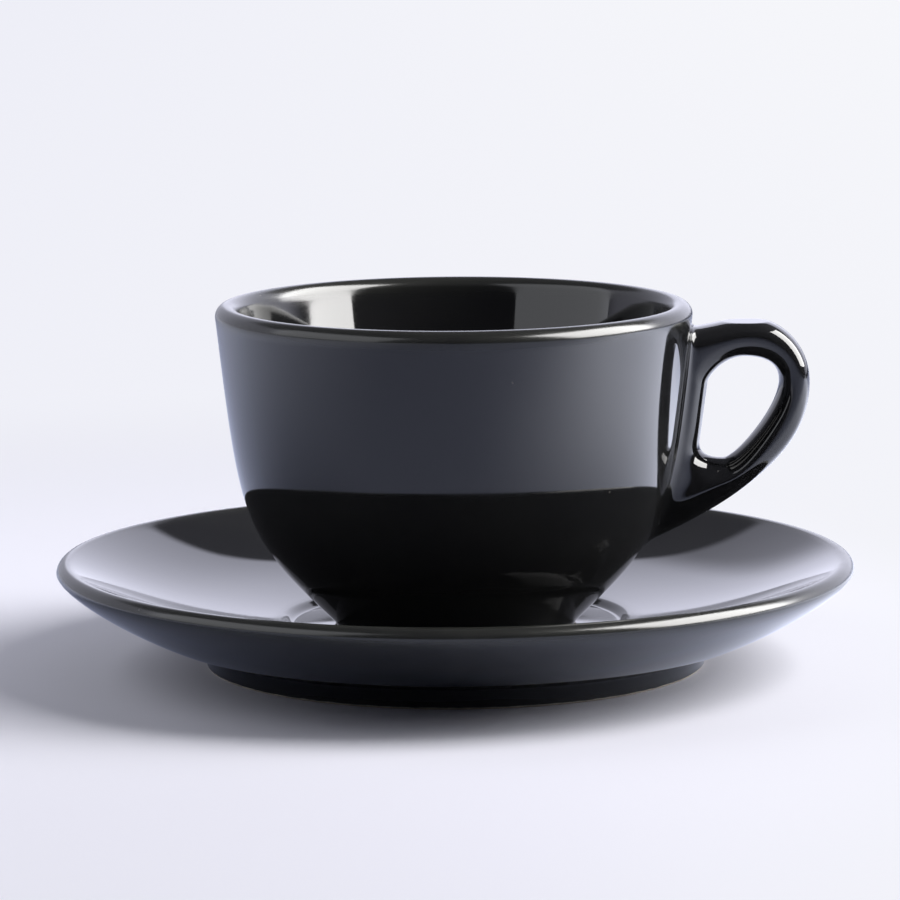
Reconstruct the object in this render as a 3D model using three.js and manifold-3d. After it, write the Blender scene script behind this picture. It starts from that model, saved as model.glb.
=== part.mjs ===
// Cappuccino cup with saucer: a turned saucer with a well, a turned cup that stands in it,
// and an ear-shaped handle stuck to the cup's wall with slip. Millimetres, degrees, +Z up.
// The origin is on the table, on the axis of saucer and cup. The handle points along +X.
import * as THREE from 'three';
import { mergeVertices } from 'three/addons/utils/BufferGeometryUtils.js';
import Module from 'manifold-3d';

// Facets
const roundSteps = 60;
const curveSteps = 8;
const edgeSteps = 5;

// Saucer: rim
const saucerRadius = 75;
const saucerHeight = 20;
const saucerLipRadius = 1.9;

// Saucer: foot ring
const saucerFootRadius = 47;
const saucerFootHeight = 4;
const saucerFootFlare = 1;
const saucerFootWidth = 5;
const saucerFootRecess = 2.4;
const saucerFootEdge = 0.6;
const saucerFloor = 5;

// Saucer: dish, each pull being the length of a tangent that draws the curve
const dishLipSlope = 23.5;
const dishLipPull = 18;
const dishWellSlope = 8;
const dishWellPull = 18;
const undersideFootPull = 7;
const undersideLipPull = 4.4;
const undersideLipSlope = 63;

// Saucer: well that the cup stands in, wider than the cup's foot
const wellClearance = 7.8;
const wellDepth = 1.2;
const wellStepRun = 2.6;

// Cup: foot ring
const cupFootRadius = 22.7;
const cupFootWidth = 4;
const cupFootRecess = 1.8;
const cupFootEdge = 0.6;

// Cup: wall, which swings from the foot to the lip round one belly corner, and the bowl in it
const cupRadius = 44.65;
const cupHeight = 60.7;
const cupBellyRadius = 40.2;
const cupBellyHeight = 18.2;
const cupLipRadius = 2.15;
const bowlSlope = 9.2;
const bowlPull = 34;
const bowlFloor = 6.2;
const bowlFlat = 10;
const bowlFloorPull = 20;

// Handle: outer edge of the arm, seen from the side
const handleBelowLip = 3.5;
const handleHeight = 42.7;
const handleReach = 22.6;
const handleWidestDrop = 11.9;
const handleRootDrop = 2.8;
const handleRootRun = 3.3;
const handleSidePull = 12.5;
const handleTailSlope = 23;
const handleTailPull = 22;

// Handle: finger gap between the arm and the limb that lies along the cup's wall
const armTopThickness = 7.1;
const armSideThickness = 5.6;
const limbThickness = 4.4;
const fingerGapHeight = 19.3;
const fingerGapCornerRise = 3.7;
const fingerGapCornerRun = 4.5;
const fingerGapFloorPull = 2.5;
const fingerGapSidePull = 5.2;

// Handle: across the arm, whose edges are rounded to a near oval, and the slip joint to the wall
const handleDepth = 10.5;
const handleEdge = 2.45;
const handleEdgeDepth = 4.7;
const handleSink = 8;
const slipJoint = 0.35;

// Share of a quarter ellipse's radius that its Bezier tangent takes, then of a blunter and a fuller one
const roundPull = 0.5523;
const bluntPull = 0.25;
const fullPull = 0.64;
// Largest share of the arm's thickness and depth that one rounded edge may take
const edgeShare = 0.46;

// Where the pieces meet
const wellRadius = cupFootRadius + wellClearance;
const wellFloorHeight = saucerFootRecess + saucerFloor;
const cupLipHeight = cupHeight - cupLipRadius;

const wasm = await Module();
wasm.setup();

// A point at a distance from a start point, in a direction given in degrees above +X
function stepFrom(start, distance, degrees) {
  const angle = THREE.MathUtils.degToRad(degrees);
  return new THREE.Vector2(start.x + distance * Math.cos(angle), start.y + distance * Math.sin(angle));
}

// Solid of a closed geometry, for cutting
function toSolid(geometry) {
  const bare = new THREE.BufferGeometry();
  bare.setAttribute('position', geometry.getAttribute('position'));
  bare.setIndex(geometry.getIndex());
  const merged = mergeVertices(bare, 1e-4);
  const vertProperties = new Float32Array(merged.getAttribute('position').array);
  const triVerts = new Uint32Array(merged.getIndex().array);
  return new wasm.Manifold(new wasm.Mesh({ numProp: 3, vertProperties, triVerts }));
}

// Geometry of a solid
function toGeometry(solid) {
  const mesh = solid.getMesh();
  const geometry = new THREE.BufferGeometry();
  geometry.setAttribute('position', new THREE.BufferAttribute(new Float32Array(mesh.vertProperties), 3));
  geometry.setIndex(new THREE.BufferAttribute(new Uint32Array(mesh.triVerts), 1));
  geometry.computeVertexNormals();
  return geometry;
}

// Body turned about +Z from a profile of radius and height that starts and ends on the axis
function turned(profile) {
  const lathe = new THREE.LatheGeometry(profile.getPoints(curveSteps), roundSteps);
  lathe.rotateX(Math.PI / 2);
  return toGeometry(toSolid(lathe));
}

// Foot ring's outline: from the axis under the recess to the foot's outer side
function drawFoot(profile, radius, width, recess, edge) {
  const inner = radius - width;
  profile.moveTo(0, recess);
  profile.lineTo(inner - recess, recess);
  profile.lineTo(inner, 0);
  profile.lineTo(radius - edge, 0);
  profile.lineTo(radius, edge);
}

function saucerProfile() {
  const lip = new THREE.Vector2(saucerRadius - saucerLipRadius, saucerHeight - saucerLipRadius);
  const footTop = saucerFootRadius + saucerFootFlare;
  const lipSide = new THREE.Vector2(saucerRadius, lip.y);
  const underPull = stepFrom(lipSide, undersideLipPull, 180 + undersideLipSlope);
  const dishTop = stepFrom(lip, saucerLipRadius, 90 + dishLipSlope);
  const dishPull = stepFrom(dishTop, dishLipPull, 180 + dishLipSlope);
  const wellTop = new THREE.Vector2(wellRadius + wellStepRun, wellFloorHeight + wellDepth);
  const wellPull = stepFrom(wellTop, dishWellPull, dishWellSlope);
  const stepPull = stepFrom(wellTop, -wellStepRun / 2, dishWellSlope);
  const stepMiddle = wellRadius + wellStepRun / 2;
  const footPull = footTop + undersideFootPull;

  const profile = new THREE.Path();
  drawFoot(profile, saucerFootRadius, saucerFootWidth, saucerFootRecess, saucerFootEdge);
  profile.lineTo(footTop, saucerFootHeight);
  profile.bezierCurveTo(footPull, saucerFootHeight, underPull.x, underPull.y, lipSide.x, lipSide.y);
  profile.absarc(lip.x, lip.y, saucerLipRadius, 0, THREE.MathUtils.degToRad(90 + dishLipSlope));
  profile.bezierCurveTo(dishPull.x, dishPull.y, wellPull.x, wellPull.y, wellTop.x, wellTop.y);
  profile.bezierCurveTo(stepPull.x, stepPull.y, stepMiddle, wellFloorHeight, wellRadius, wellFloorHeight);
  profile.lineTo(0, wellFloorHeight);
  return profile;
}

// Outer side of the cup's wall, set out from the wall itself by a gap
function wallCurve(gap = 0) {
  const belly = new THREE.Vector2(cupBellyRadius + gap, cupBellyHeight);
  return new THREE.CubicBezierCurve(
    new THREE.Vector2(cupFootRadius + gap, cupFootEdge),
    belly,
    belly,
    new THREE.Vector2(cupRadius + gap, cupLipHeight),
  );
}

// The wall's outer radius at a height above the cup's foot
function wallRadius(height) {
  const curve = wallCurve();
  let low = 0;
  let high = 1;
  while (high - low > 1e-9) {
    const middle = (low + high) / 2;
    if (curve.getPoint(middle).y < height) {
      low = middle;
    } else {
      high = middle;
    }
  }
  return curve.getPoint(low).x;
}

function cupProfile() {
  const lip = new THREE.Vector2(cupRadius - cupLipRadius, cupLipHeight);
  const bowlTop = stepFrom(lip, cupLipRadius, 180 - bowlSlope);
  const wallPull = stepFrom(bowlTop, bowlPull, 270 - bowlSlope);

  const profile = new THREE.Path();
  drawFoot(profile, cupFootRadius, cupFootWidth, cupFootRecess, cupFootEdge);
  profile.curves.push(wallCurve());
  profile.currentPoint.set(cupRadius, cupLipHeight);
  profile.absarc(lip.x, lip.y, cupLipRadius, 0, THREE.MathUtils.degToRad(180 - bowlSlope));
  profile.bezierCurveTo(wallPull.x, wallPull.y, bowlFlat + bowlFloorPull, bowlFloor, bowlFlat, bowlFloor);
  profile.lineTo(0, bowlFloor);
  return profile;
}

// The space that the cup's wall and the slip joint take up, without the hollow
function cupEnvelope() {
  const profile = new THREE.Path();
  profile.moveTo(0, 0);
  profile.lineTo(cupFootRadius + slipJoint, 0);
  profile.lineTo(cupFootRadius + slipJoint, cupFootEdge);
  profile.curves.push(wallCurve(slipJoint));
  profile.currentPoint.set(cupRadius + slipJoint, cupLipHeight);
  profile.lineTo(0, cupLipHeight);
  return turned(profile);
}

// Side view of the handle: X out from the cup's axis, Y up from the cup's foot
function handleOutline() {
  const crownHeight = cupHeight - handleBelowLip;
  const rootHeight = crownHeight - handleRootDrop;
  const root = wallRadius(rootHeight);
  const widest = new THREE.Vector2(root + handleReach, crownHeight - handleWidestDrop);
  const crown = new THREE.Vector2((root + widest.x) / 2, crownHeight);
  const tailHeight = crownHeight - handleHeight;
  const tail = new THREE.Vector2(wallRadius(tailHeight), tailHeight);
  const tailPull = stepFrom(tail, handleTailPull, handleTailSlope);
  const tailEnd = stepFrom(tail, -handleSink, handleTailSlope);
  const crownPull = roundPull * (widest.x - crown.x);
  const widestPull = roundPull * handleWidestDrop;

  const outline = new THREE.Shape();
  outline.moveTo(root - handleSink, rootHeight);
  outline.bezierCurveTo(root + handleRootRun, rootHeight, crown.x - crownPull, crown.y, crown.x, crown.y);
  outline.bezierCurveTo(crown.x + crownPull, crown.y, widest.x, widest.y + widestPull, widest.x, widest.y);
  outline.bezierCurveTo(widest.x, widest.y - handleSidePull, tailPull.x, tailPull.y, tail.x, tail.y);
  outline.lineTo(tailEnd.x, tailEnd.y);
  outline.holes.push(fingerGap(crownHeight, widest));
  return outline;
}

// Finger gap inside the handle, drawn the other way round from the outer edge
function fingerGap(crownHeight, widest) {
  const besideWall = (height) => new THREE.Vector2(wallRadius(height) + limbThickness, height);
  const top = crownHeight - armTopThickness;
  const bottom = top - fingerGapHeight;
  const right = widest.x - armSideThickness;
  const left = besideWall(widest.y);
  const cornerTop = besideWall(bottom + fingerGapCornerRise);
  const corner = besideWall(bottom);
  const floorStart = cornerTop.x + fingerGapCornerRun;
  const floorPull = floorStart + fingerGapFloorPull;
  const rightPull = widest.y - fingerGapSidePull;
  const crown = (left.x + right) / 2;
  const rise = top - widest.y;
  const half = right - crown;
  const leftPull = new THREE.Vector2().subVectors(left, cornerTop).setLength(bluntPull * rise).add(left);

  const gap = new THREE.Path();
  gap.moveTo(crown, top);
  gap.bezierCurveTo(crown - roundPull * half, top, leftPull.x, leftPull.y, left.x, left.y);
  gap.lineTo(cornerTop.x, cornerTop.y);
  gap.quadraticCurveTo(corner.x, corner.y, floorStart, bottom);
  gap.bezierCurveTo(floorPull, bottom, right, rightPull, right, widest.y);
  gap.bezierCurveTo(right, widest.y + fullPull * rise, crown + fullPull * half, top, crown, top);
  return gap;
}

// Least distance from the arm's outer edge to the finger gap
function thinnestArm(outline) {
  const gap = outline.holes[0].getPoints(curveSteps);
  const distances = outline.getPoints(curveSteps).flatMap((point) => {
    return gap.map((other) => point.distanceTo(other));
  });
  return Math.min(...distances);
}

function handleGeometry() {
  const outline = handleOutline();
  const edge = Math.min(handleEdge, edgeShare * thinnestArm(outline));
  const edgeDepth = Math.min(handleEdgeDepth, edgeShare * handleDepth);
  const arm = new THREE.ExtrudeGeometry(outline, {
    depth: handleDepth - 2 * edgeDepth,
    curveSegments: curveSteps,
    bevelSegments: edgeSteps,
    bevelThickness: edgeDepth,
    bevelSize: edge,
    bevelOffset: -edge,
  });
  arm.translate(0, 0, edgeDepth - handleDepth / 2);
  arm.rotateX(Math.PI / 2);
  return toGeometry(toSolid(arm).subtract(toSolid(cupEnvelope())));
}

// Named piece with its own glaze
function piece(name, geometry, roughness) {
  const glaze = new THREE.MeshStandardMaterial({ color: 0x111214, roughness, metalness: 0 });
  const mesh = new THREE.Mesh(geometry, glaze);
  mesh.name = name;
  return mesh;
}

const cup = new THREE.Group();
cup.add(piece('cup_body', turned(cupProfile()), 0.08));
cup.add(piece('cup_handle', handleGeometry(), 0.1));
cup.position.z = wellFloorHeight;

const cupAndSaucer = new THREE.Group();
cupAndSaucer.add(piece('saucer', turned(saucerProfile()), 0.08));
cupAndSaucer.add(cup);

export default cupAndSaucer;
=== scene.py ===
"""Cappuccino cup with saucer, in dark gloss glaze, on a pale studio floor.

One Geometry Nodes tree turns the saucer and the cup's body from profiles of lines, arcs and curves.
The handle is an arm of oval section that a distance field blends into the cup's wall.
Sizes are in millimetres until a mesh is made from them, and in metres from there on.
"""

import logging
import math
from collections.abc import Callable, Mapping
from dataclasses import dataclass, field
from enum import Enum
from typing import Any

import bpy
import numpy as np
from mathutils import Matrix, Vector
from mathutils.kdtree import KDTree


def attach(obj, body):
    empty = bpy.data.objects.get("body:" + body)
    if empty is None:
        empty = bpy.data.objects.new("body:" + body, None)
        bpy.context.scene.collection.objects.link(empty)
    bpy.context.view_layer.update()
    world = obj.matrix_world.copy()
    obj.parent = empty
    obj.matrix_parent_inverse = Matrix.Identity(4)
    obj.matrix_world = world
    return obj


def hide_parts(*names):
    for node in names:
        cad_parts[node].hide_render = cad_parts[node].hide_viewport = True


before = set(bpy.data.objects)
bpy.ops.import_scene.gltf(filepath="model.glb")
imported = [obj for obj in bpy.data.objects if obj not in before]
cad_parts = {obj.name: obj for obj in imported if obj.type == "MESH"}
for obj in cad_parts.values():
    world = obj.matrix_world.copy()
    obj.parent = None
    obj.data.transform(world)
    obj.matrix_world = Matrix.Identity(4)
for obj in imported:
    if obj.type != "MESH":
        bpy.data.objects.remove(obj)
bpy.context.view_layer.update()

log = logging.getLogger("cup_and_saucer")

MM = 0.001
TINY = 1e-6
FULL_TURN = 2 * math.pi
ROUND_PULL = 0.5523
BLUNT_PULL = 0.25
FULL_PULL = 0.64
THIN_GLAZE = "thin_glaze"

Point = tuple[float, float]
Span = tuple[float, float]
Colour = tuple[float, float, float]

BLACK: Colour = (0.0, 0.0, 0.0)


class Body(Enum):
    """The bodies of the frame that pieces ride on."""

    SAUCER = "saucer"
    CUP = "cup"


class Shine(Enum):
    """What a lamp shows up in: the light on matt surfaces, or the shine on gloss ones."""

    MATT = "matt"
    GLOSS = "gloss"


class Slot(Enum):
    """The record's material slots, which no piece here takes its finish from."""

    SAUCER_GLAZE = "saucer_glaze"
    CUP_GLAZE = "cup_glaze"


# Nodes


class Wire:
    """An output socket that takes part in Python arithmetic, each step adding a Math node."""

    def __init__(self, board: "NodeBoard", socket: bpy.types.NodeSocket) -> None:
        """Wraps a socket that belongs to a board's tree."""
        self.board = board
        self.socket = socket

    def other(self, name: str) -> "Wire":
        """Returns another output of the same node."""
        return Wire(self.board, self.socket.node.outputs[name])

    def maths(self, operation: str, *values: "Wire | float") -> "Wire":
        """Adds one Math node.

        Args:
            operation: The Math node's operation.
            values: What goes into its inputs, in order.

        Returns:
            The result.
        """
        return self.board.node("ShaderNodeMath", {"operation": operation}, dict(enumerate(values)))

    def __add__(self, value: "Wire | float") -> "Wire":
        """Adds a value."""
        return self.maths("ADD", self, value)

    def __radd__(self, value: float) -> "Wire":
        """Adds to a number."""
        return self.maths("ADD", value, self)

    def __sub__(self, value: "Wire | float") -> "Wire":
        """Takes a value away."""
        return self.maths("SUBTRACT", self, value)

    def __rsub__(self, value: float) -> "Wire":
        """Takes away from a number."""
        return self.maths("SUBTRACT", value, self)

    def __mul__(self, value: "Wire | float") -> "Wire":
        """Multiplies by a value."""
        return self.maths("MULTIPLY", self, value)

    def __rmul__(self, value: float) -> "Wire":
        """Multiplies a number."""
        return self.maths("MULTIPLY", value, self)

    def __truediv__(self, value: "Wire | float") -> "Wire":
        """Divides by a value."""
        return self.maths("DIVIDE", self, value)

    def __rtruediv__(self, value: float) -> "Wire":
        """Divides a number."""
        return self.maths("DIVIDE", value, self)

    def at_least(self, low: float) -> "Wire":
        """Raises what is below a low value to it."""
        return self.maths("MAXIMUM", self, low)

    def floor(self) -> "Wire":
        """Rounds down."""
        return self.maths("FLOOR", self)

    def sine(self) -> "Wire":
        """Takes the sine."""
        return self.maths("SINE", self)

    def cosine(self) -> "Wire":
        """Takes the cosine."""
        return self.maths("COSINE", self)

    def between(self, low: float, high: float) -> "Wire":
        """Eases from 0 at the low value to 1 at the high one.

        Args:
            low: The value at which the result leaves 0.
            high: The value from which the result is 1.

        Returns:
            The eased share.
        """
        settings = {"interpolation_type": "SMOOTHSTEP"}
        limits = {"Value": self, "From Min": low, "From Max": high}
        return self.board.node("ShaderNodeMapRange", settings, limits)


class NodeBoard:
    """Adds nodes to one node tree."""

    def __init__(self, tree: bpy.types.NodeTree) -> None:
        """Works on an empty tree."""
        self.tree = tree

    def node(
        self,
        kind: str,
        settings: Mapping[str, Any] | None = None,
        inputs: Mapping[str | int, Any] | None = None,
        output: str | int = 0,
    ) -> Wire:
        """Adds a node of any type.

        Args:
            kind: The node's type.
            settings: The node's own properties, set before its sockets.
            inputs: A value or a wire for each socket, by name or number.
            output: The output that is returned, by name or number.

        Returns:
            That output.
        """
        made = self.tree.nodes.new(kind)
        for name, value in (settings or {}).items():
            setattr(made, name, value)
        for name, value in (inputs or {}).items():
            self.feed(made, name, value)
        return Wire(self, made.outputs[output]) if made.outputs else Wire(self, None)

    def feed(self, node: bpy.types.Node, name: str | int, value: Any) -> None:
        """Links a wire to a node's socket, or sets the socket's own value."""
        if isinstance(value, Wire):
            self.tree.links.new(value.socket, node.inputs[name])
        else:
            node.inputs[name].default_value = value

    def mix(self, share: Wire, first: Any, second: Any) -> Wire:
        """Mixes two colours.

        Args:
            share: How much of the second colour shows, from 0 to 1.
            first: A wire or an RGBA colour.
            second: A wire or an RGBA colour.

        Returns:
            The mixed colour.
        """
        return self.node("ShaderNodeMix", {"data_type": "RGBA"}, {0: share, 6: first, 7: second}, 2)

    def noise(self, place: Wire, size: float, detail: float = 2.0) -> Wire:
        """Adds noise with lumps of about a given size.

        Args:
            place: The coordinates that it is read at, in metres.
            size: The lumps' size in millimetres.
            detail: How many finer layers it has.

        Returns:
            A value around a half.
        """
        inputs = {"Vector": place, "Scale": 1 / (size * MM), "Detail": detail}
        return self.node("ShaderNodeTexNoise", None, inputs, "Fac")


def opaque(colour: Colour) -> tuple[float, float, float, float]:
    """Returns a colour with full opacity added."""
    return (*colour, 1.0)


# Finishes


@dataclass(frozen=True)
class Glaze:
    """Gloss black glaze, thin and olive on sharp edges, wiped off the foot ring's base.

    Sizes are in millimetres. Limits are the values of a noise between which its effect sets in.
    """

    name: str
    base_height: float
    colour: Colour = (0.0110, 0.0112, 0.0120)
    cloud_colour: Colour = (0.0140, 0.0142, 0.0145)
    edge_colour: Colour = (0.0230, 0.0235, 0.0200)
    speck_colour: Colour = (0.1200, 0.1150, 0.1050)
    clay_colour: Colour = (0.4600, 0.4150, 0.3500)
    refraction: float = 1.52
    gloss_roughness: float = 0.035
    cloud_roughness: float = 0.03
    edge_roughness: float = 0.18
    clay_roughness: float = 0.82
    cloud_size: float = 22.0
    cloud_limits: Span = (0.42, 0.68)
    thin_size: float = 6.0
    thin_least: float = 0.65
    thin_waver: float = 0.5
    bare_height: float = 0.35
    bare_waver: float = 0.30
    bare_size: float = 2.5
    bare_blur: float = 0.06
    speck_spacing: float = 4.5
    speck_limits: Span = (0.025, 0.055)
    speck_chance: Span = (0.90, 0.93)
    grain_size: float = 0.5
    grain_limits: Span = (0.35, 0.65)
    grain_shade: float = 0.82
    ripple_size: float = 14.0
    ripple_depth: float = 0.016
    peel_size: float = 1.6
    peel_share: float = 0.06
    grit_size: float = 0.35

    def material(self) -> bpy.types.Material:
        """Makes the material.

        Returns:
            A node material that reads Object coordinates and the thin-glaze attribute.
        """
        made = bpy.data.materials.new(self.name)
        made.use_nodes = True
        made.node_tree.nodes.clear()
        board = NodeBoard(made.node_tree)
        place = board.node("ShaderNodeTexCoord", output="Object")
        clouds = board.noise(place, self.cloud_size, detail=3.0).between(*self.cloud_limits)
        bare = self._bare(board, place)
        speck = self._specks(board, place)
        thin = board.node("ShaderNodeAttribute", {"attribute_name": THIN_GLAZE}, output="Fac")
        thin = thin * (self.thin_least + self.thin_waver * board.noise(place, self.thin_size))

        colour = board.mix(clouds, opaque(self.colour), opaque(self.cloud_colour))
        colour = board.mix(thin, colour, opaque(self.edge_colour))
        colour = board.mix(speck, colour, opaque(self.speck_colour))
        colour = board.mix(bare, colour, self._clay(board, place))
        roughness = self.gloss_roughness + self.cloud_roughness * clouds + self.edge_roughness * thin
        roughness = roughness + bare * (self.clay_roughness - self.gloss_roughness)
        surface = board.node(
            "ShaderNodeBsdfPrincipled",
            None,
            {
                "Base Color": colour,
                "Roughness": roughness,
                "IOR": self.refraction,
                "Normal": self._relief(board, place, bare),
            },
        )
        board.node("ShaderNodeOutputMaterial", None, {"Surface": surface})
        return made

    def _bare(self, board: NodeBoard, place: Wire) -> Wire:
        """Finds where the foot ring's base is wiped clean, up to a slightly wavering line."""
        height = board.node("ShaderNodeSeparateXYZ", None, {0: place}).other("Z")
        line = self.base_height + self.bare_height - self.bare_waver / 2
        line = line * MM + self.bare_waver * MM * board.noise(place, self.bare_size)
        return 1 - ((height - line) / (self.bare_blur * MM)).between(0.0, 1.0)

    def _specks(self, board: NodeBoard, place: Wire) -> Wire:
        """Scatters a few fine specks in the glaze."""
        cells = board.node(
            "ShaderNodeTexVoronoi",
            {"feature": "F1"},
            {"Vector": place, "Scale": 1 / (self.speck_spacing * MM)},
            "Distance",
        )
        chance = board.node("ShaderNodeSeparateColor", None, {0: cells.other("Color")}).other("Red")
        return (1 - cells.between(*self.speck_limits)) * chance.between(*self.speck_chance)

    def _clay(self, board: NodeBoard, place: Wire) -> Wire:
        """Gives the bare clay its fine grain."""
        grain = board.noise(place, self.grain_size, detail=3.0).between(*self.grain_limits)
        dark = tuple(self.grain_shade * channel for channel in self.clay_colour)
        return board.mix(grain, opaque(dark), opaque(self.clay_colour))

    def _relief(self, board: NodeBoard, place: Wire, bare: Wire) -> Wire:
        """Gives the glaze its slow ripple and fine skin, and the bare clay its grit."""
        ripple = board.noise(place, self.ripple_size, detail=1.0)
        peel = board.noise(place, self.peel_size, detail=1.0) * self.peel_share
        grit = board.noise(place, self.grit_size, detail=2.0) * bare
        height = ripple + peel + grit
        inputs = {"Height": height, "Strength": 1.0, "Distance": self.ripple_depth * MM}
        return board.node("ShaderNodeBump", None, inputs)


@dataclass(frozen=True)
class FloorPaper:
    """Pale seamless paper, pale for the camera far from the object, with painted light that makes it
    brighter towards the key light at the right.

    In reflections it is cooler, and it glows towards the key light and a little at the left. From
    below it is clear. Spans are places on the floor between which an effect sets in, in millimetres.
    """

    name: str = "floor_paper"
    colour: Colour = (0.800, 0.800, 0.880)
    shown_colour: Colour = (0.840, 0.845, 0.925)
    # Painted light: the paper's tone for the camera on the side towards the key light, brighter than the
    # rest.
    shown_lit_side_colour: Colour = (0.920, 0.925, 0.960)
    reflected_colour: Colour = (0.600, 0.650, 0.860)
    glow_colour: Colour = (0.90, 0.92, 1.0)
    glow: float = 2.6
    glow_across: Span = (0.0, 240.0)
    glow_front: Span = (-260.0, -60.0)
    glow_back: Span = (100.0, 300.0)
    left_glow: float = 0.75
    left_glow_across: Span = (100.0, 400.0)
    fade: Span = (110.0, 380.0)
    fade_lean: float = 2.0
    fade_across: Span = (-400.0, 400.0)

    def material(self) -> bpy.types.Material:
        """Makes the material.

        Returns:
            A matt material that keeps the object's shadow.
        """
        made = bpy.data.materials.new(self.name)
        made.use_nodes = True
        made.node_tree.nodes.clear()
        board = NodeBoard(made.node_tree)
        place = board.node("ShaderNodeTexCoord", output="Object")
        apart = board.node("ShaderNodeSeparateXYZ", None, {0: place})
        across, along = apart / MM, apart.other("Y") / MM
        away = board.node("ShaderNodeVectorMath", {"operation": "LENGTH"}, {0: place}, "Value") / MM
        seen = board.node("ShaderNodeLightPath", output="Is Camera Ray")

        lit = self._lit(board, across, along, seen.other("Is Glossy Ray"))
        # Painted light: far from the object the paper is shown brighter towards the key light at the right.
        rightward = across.between(*self.fade_across)
        even = board.mix(rightward, opaque(self.shown_colour), opaque(self.shown_lit_side_colour))
        shown = board.node("ShaderNodeEmission", None, {"Color": even})
        reach = away + across.at_least(0.0) * self.fade_lean
        share = seen * reach.between(*self.fade)
        top = board.node("ShaderNodeMixShader", None, {0: share, 1: lit, 2: shown})
        under = board.node("ShaderNodeNewGeometry", output="Backfacing")
        clear = board.node("ShaderNodeBsdfTransparent")
        surface = board.node("ShaderNodeMixShader", None, {0: under, 1: top, 2: clear})
        board.node("ShaderNodeOutputMaterial", None, {"Surface": surface})
        return made

    def _lit(self, board: NodeBoard, across: Wire, along: Wire, reflected: Wire) -> Wire:
        """Makes the paper under the lamps, with its glow in reflections.

        Args:
            board: The material's nodes.
            across: Places towards the key light, in millimetres.
            along: Places away from the camera, in millimetres.
            reflected: Whether the paper is seen in a reflection.

        Returns:
            A matt shader with the glow added.
        """
        colour = board.mix(reflected, opaque(self.colour), opaque(self.reflected_colour))
        paper = board.node("ShaderNodeBsdfDiffuse", None, {"Color": colour})
        share = across.between(*self.glow_across) * along.between(*self.glow_front)
        share = share * (1 - along.between(*self.glow_back))
        share = share + (0 - across).between(*self.left_glow_across) * (self.left_glow / self.glow)
        colour = board.mix(share * reflected, opaque(BLACK), opaque(self.glow_colour))
        glow = board.node("ShaderNodeEmission", None, {"Color": colour, "Strength": self.glow})
        return board.node("ShaderNodeAddShader", None, {0: paper, 1: glow})


# Outlines


class Outline:
    """A chain of points in a plane, drawn with lines, arcs and curves, each in at least a few steps."""

    LINE_STEPS = 2
    CURVE_STEPS = 10
    BEND_STEPS = 8
    ARC_STEPS = 24

    def __init__(self, start: Point, spacing: float) -> None:
        """Starts a chain.

        Args:
            start: The first point.
            spacing: The longest step between points on a long run.
        """
        self.points: list[np.ndarray] = [np.array(start, float)]
        self.spacing = spacing

    def _run(self, path: Callable[[np.ndarray], np.ndarray], length: float, least: int) -> "Outline":
        """Adds points along a path.

        Args:
            path: Gives points for a column of shares from 0 to 1.
            length: The path's rough length.
            least: The fewest steps.

        Returns:
            The outline itself.
        """
        steps = max(least, math.ceil(length / self.spacing))
        shares = np.linspace(0, 1, steps + 1)[1:, None]
        self.points.extend(path(shares))
        return self

    def line_to(self, end: Point) -> "Outline":
        """Draws a straight line."""
        first, last = self.points[-1], np.array(end, float)
        length = np.linalg.norm(last - first)
        return self._run(lambda t: first + (last - first) * t, length, self.LINE_STEPS)

    def curve_to(self, pull: Point, push: Point, end: Point) -> "Outline":
        """Draws a Bezier curve.

        Args:
            pull: The control point that the curve leaves towards.
            push: The control point that the curve arrives from.
            end: The last point.

        Returns:
            The outline itself.
        """
        a, b, c, d = self.points[-1], np.array(pull), np.array(push), np.array(end)
        length = sum(np.linalg.norm(q - p) for p, q in ((a, b), (b, c), (c, d)))
        return self._run(lambda t: bezier(a, b, c, d, t), length, self.CURVE_STEPS)

    def bend_to(self, corner: Point, end: Point) -> "Outline":
        """Draws a rounded corner that touches both of its sides."""
        a, b, c = self.points[-1], np.array(corner), np.array(end)
        length = np.linalg.norm(b - a) + np.linalg.norm(c - b)

        def path(t: np.ndarray) -> np.ndarray:
            """Returns points of the corner."""
            return (1 - t) ** 2 * a + 2 * t * (1 - t) * b + t**2 * c

        return self._run(path, length, self.BEND_STEPS)

    def arc(self, centre: Point, radius: float, first: float, last: float) -> "Outline":
        """Draws an arc that starts where the chain ends.

        Args:
            centre: The arc's centre.
            radius: Its radius.
            first: The angle at its start, in degrees.
            last: The angle at its end, in degrees.

        Returns:
            The outline itself.
        """
        start, sweep = math.radians(first), math.radians(last - first)

        def path(t: np.ndarray) -> np.ndarray:
            """Returns points of the arc."""
            angle = start + sweep * t
            return np.array(centre) + radius * np.hstack([np.cos(angle), np.sin(angle)])

        return self._run(path, radius * abs(sweep), self.ARC_STEPS)

    def array(self) -> np.ndarray:
        """Returns the points as an array of two columns."""
        return np.array(self.points)


def bezier(a: np.ndarray, b: np.ndarray, c: np.ndarray, d: np.ndarray, t: np.ndarray) -> np.ndarray:
    """Returns points of a cubic Bezier curve for a column of shares."""
    return (1 - t) ** 3 * a + 3 * t * (1 - t) ** 2 * b + 3 * t**2 * (1 - t) * c + t**3 * d


def step_from(start: Point, distance: float, degrees: float) -> Point:
    """Returns the point at a distance from another, in a direction above the first axis."""
    angle = math.radians(degrees)
    return (start[0] + distance * math.cos(angle), start[1] + distance * math.sin(angle))


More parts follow.
